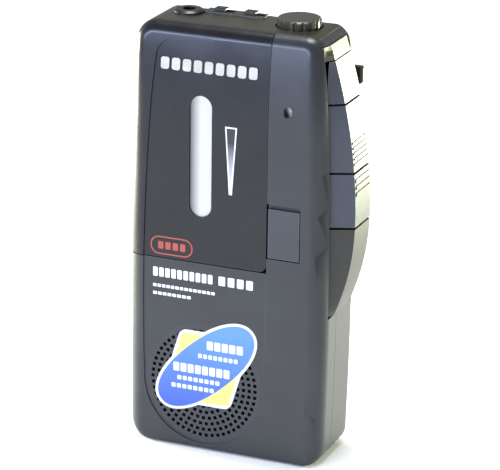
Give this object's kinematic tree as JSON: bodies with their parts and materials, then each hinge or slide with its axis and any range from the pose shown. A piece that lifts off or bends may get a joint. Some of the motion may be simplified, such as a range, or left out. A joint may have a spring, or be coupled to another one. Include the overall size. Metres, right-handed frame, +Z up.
{
  "type": "microcassette dictation machine",
  "caption": "Pocket tape dictation machine: upright dark case with a hinged cassette lid, round speaker grille, side keys and a fluted volume dial on top.",
  "frame": {"origin": "middle of the foot of the machine's overall box", "axes": "+Z up the machine's length, -Y out of the lid and speaker front, +X towards the side keys"},
  "size_m": [0.0648, 0.0244, 0.1244],
  "materials": {
    "case_plastic": "fine-textured charcoal moulding",
    "lid_plastic": "fine-textured dark moulding",
    "deck_plastic": "olive-black moulding",
    "knob_plastic": "black moulding",
    "key_plastic": "blue-grey satin moulding",
    "window_plastic": "milky polished lens",
    "bright_chrome": "bright plated strip",
    "steel": "bright steel",
    "plated_steel": "zinc-plated sheet",
    "head_metal": "lapped metal face",
    "cell_jacket": "printed foil sleeve, plain",
    "brass": "turned",
    "rubber": "ground rubber",
    "magnet": "sintered",
    "speaker_paper": "pressed paper",
    "speaker_cloth": "fine black cloth",
    "tape_shell": "grey moulding",
    "white_plastic": "white acetal",
    "tape_pack": "wound tape edge",
    "circuit_board": "green laminate"
  },
  "bodies": {
    "root": {"battery_cells": "cell_jacket", "battery_contacts": "steel", "board_chips": "knob_plastic", "capacitors": "cell_jacket", "case_screws": "steel", "cassette_screws": "steel", "cassette_shell": "tape_shell", "chassis_plate": "plated_steel", "chassis_screws": "steel", "circuit_boards": "circuit_board", "drive_belt": "rubber", "earphone_jack": "knob_plastic", "front_cover": "case_plastic", "grille_cloth": "speaker_cloth", "hinge_pins": "steel", "key_frame": "case_plastic", "key_pivot_pins": "steel", "key_spring_leaves": "steel", "microphone_boot": "rubber", "microphone_capsule": "plated_steel", "microphone_jack": "knob_plastic", "motor_can": "plated_steel", "power_jack": "knob_plastic", "rear_cover": "case_plastic", "record_lamp_lens": "window_plastic", "shaft_bushes": "brass", "speaker_cone": "speaker_paper", "speaker_frame": "plated_steel", "speaker_grille": "case_plastic", "speaker_magnet": "magnet", "switch_bodies": "plated_steel", "top_plate": "deck_plastic", "volume_pot": "plated_steel"},
    "lid": {"lid_shell": "lid_plastic", "lid_window": "window_plastic", "nameplate": "bright_chrome", "lid_spring": "steel"},
    "lid_opener": {"lid_opener": "lid_plastic"},
    "record_key": {"record_key": "key_plastic"},
    "play_key": {"play_key": "key_plastic"},
    "wind_key": {"wind_key": "key_plastic"},
    "pause_slider": {"pause_slider": "knob_plastic"},
    "volume_dial": {"volume_dial": "deck_plastic"},
    "speed_knob": {"speed_knob": "knob_plastic"},
    "voice_knob": {"voice_knob": "knob_plastic"},
    "battery_door": {"battery_door": "case_plastic"},
    "flywheel": {"flywheel": "brass", "capstan_shaft": "steel"},
    "motor_pulley": {"motor_pulley": "brass"},
    "idler_wheel": {"idler_wheel": "rubber"},
    "take_up_reel": {"take_up_spindle": "white_plastic", "take_up_hub": "white_plastic", "take_up_tape": "tape_pack"},
    "supply_reel": {"supply_spindle": "white_plastic", "supply_hub": "white_plastic", "supply_tape": "tape_pack"},
    "head_plate": {"head_plate": "plated_steel", "play_head": "head_metal", "erase_head": "head_metal"},
    "pinch_roller": {"pinch_roller": "rubber"}
  },
  "joints": [
    {"name": "lid_swing", "type": "hinge", "parent": "root", "child": "lid", "pos_m": [-0.03105, -0.0085, 0], "axis": [0, 0, -1], "range_deg": [0, 75]},
    {"name": "lid_opener_slide", "type": "slide", "parent": "root", "child": "lid_opener", "axis": [0, 0, 1], "range_m": [0, 0.0012], "stiffness_N_per_m": 400},
    {"name": "record_key_press", "type": "slide", "parent": "root", "child": "record_key", "axis": [-1, 0, 0], "range_m": [0, 0.0012], "stiffness_N_per_m": 500},
    {"name": "play_key_rock", "type": "hinge", "parent": "root", "child": "play_key", "pos_m": [0.02335, 0, 0.09425], "axis": [0, 1, 0], "range_deg": [-3, 3], "stiffness_Nm_per_rad": 0.3},
    {"name": "wind_key_rock", "type": "hinge", "parent": "root", "child": "wind_key", "pos_m": [0.02335, 0, 0.07705], "axis": [0, 1, 0], "range_deg": [-3, 3], "stiffness_Nm_per_rad": 0.3},
    {"name": "pause_slide", "type": "slide", "parent": "root", "child": "pause_slider", "axis": [0, 0, -1], "range_m": [0, 0.003]},
    {"name": "volume_turn", "type": "hinge", "parent": "root", "child": "volume_dial", "pos_m": [0.0123, 0.0018, 0.12], "axis": [0, 0, 1], "range_deg": [0, 270]},
    {"name": "speed_knob_slide", "type": "slide", "parent": "root", "child": "speed_knob", "axis": [1, 0, 0], "range_m": [0, 0.003]},
    {"name": "voice_knob_slide", "type": "slide", "parent": "root", "child": "voice_knob", "axis": [1, 0, 0], "range_m": [0, 0.003]},
    {"name": "battery_door_swing", "type": "hinge", "parent": "root", "child": "battery_door", "pos_m": [0, 0.0113, 0.0104], "axis": [-1, 0, 0], "range_deg": [0, 85]},
    {"name": "flywheel_spin", "type": "hinge", "parent": "root", "child": "flywheel", "pos_m": [0.003, 0, 0.0695], "axis": [0, 1, 0], "continuous": true},
    {"name": "motor_spin", "type": "hinge", "parent": "root", "child": "motor_pulley", "pos_m": [0.0137, 0, 0.047], "axis": [0, 1, 0], "continuous": true},
    {"name": "idler_spin", "type": "hinge", "parent": "root", "child": "idler_wheel", "pos_m": [-0.0065, 0, 0.0786], "axis": [0, 1, 0], "continuous": true},
    {"name": "take_up_spin", "type": "hinge", "parent": "root", "child": "take_up_reel", "pos_m": [-0.0113, 0, 0.0733], "axis": [0, 1, 0], "continuous": true},
    {"name": "supply_spin", "type": "hinge", "parent": "root", "child": "supply_reel", "pos_m": [-0.0113, 0, 0.0987], "axis": [0, 1, 0], "continuous": true},
    {"name": "head_plate_slide", "type": "slide", "parent": "root", "child": "head_plate", "axis": [-1, 0, 0], "range_m": [0, 0.0022], "stiffness_N_per_m": 300},
    {"name": "pinch_roller_spin", "type": "hinge", "parent": "head_plate", "child": "pinch_roller", "pos_m": [0.0086, 0, 0.0695], "axis": [0, 1, 0], "continuous": true}
  ],
  "couplings": [
    {"joint": "motor_spin", "follows": "flywheel_spin", "ratio": 4.7895},
    {"joint": "idler_spin", "follows": "flywheel_spin", "ratio": -3.3333},
    {"joint": "take_up_spin", "follows": "flywheel_spin", "ratio": 0.09375},
    {"joint": "supply_spin", "follows": "flywheel_spin", "ratio": 0.07143}
  ]
}
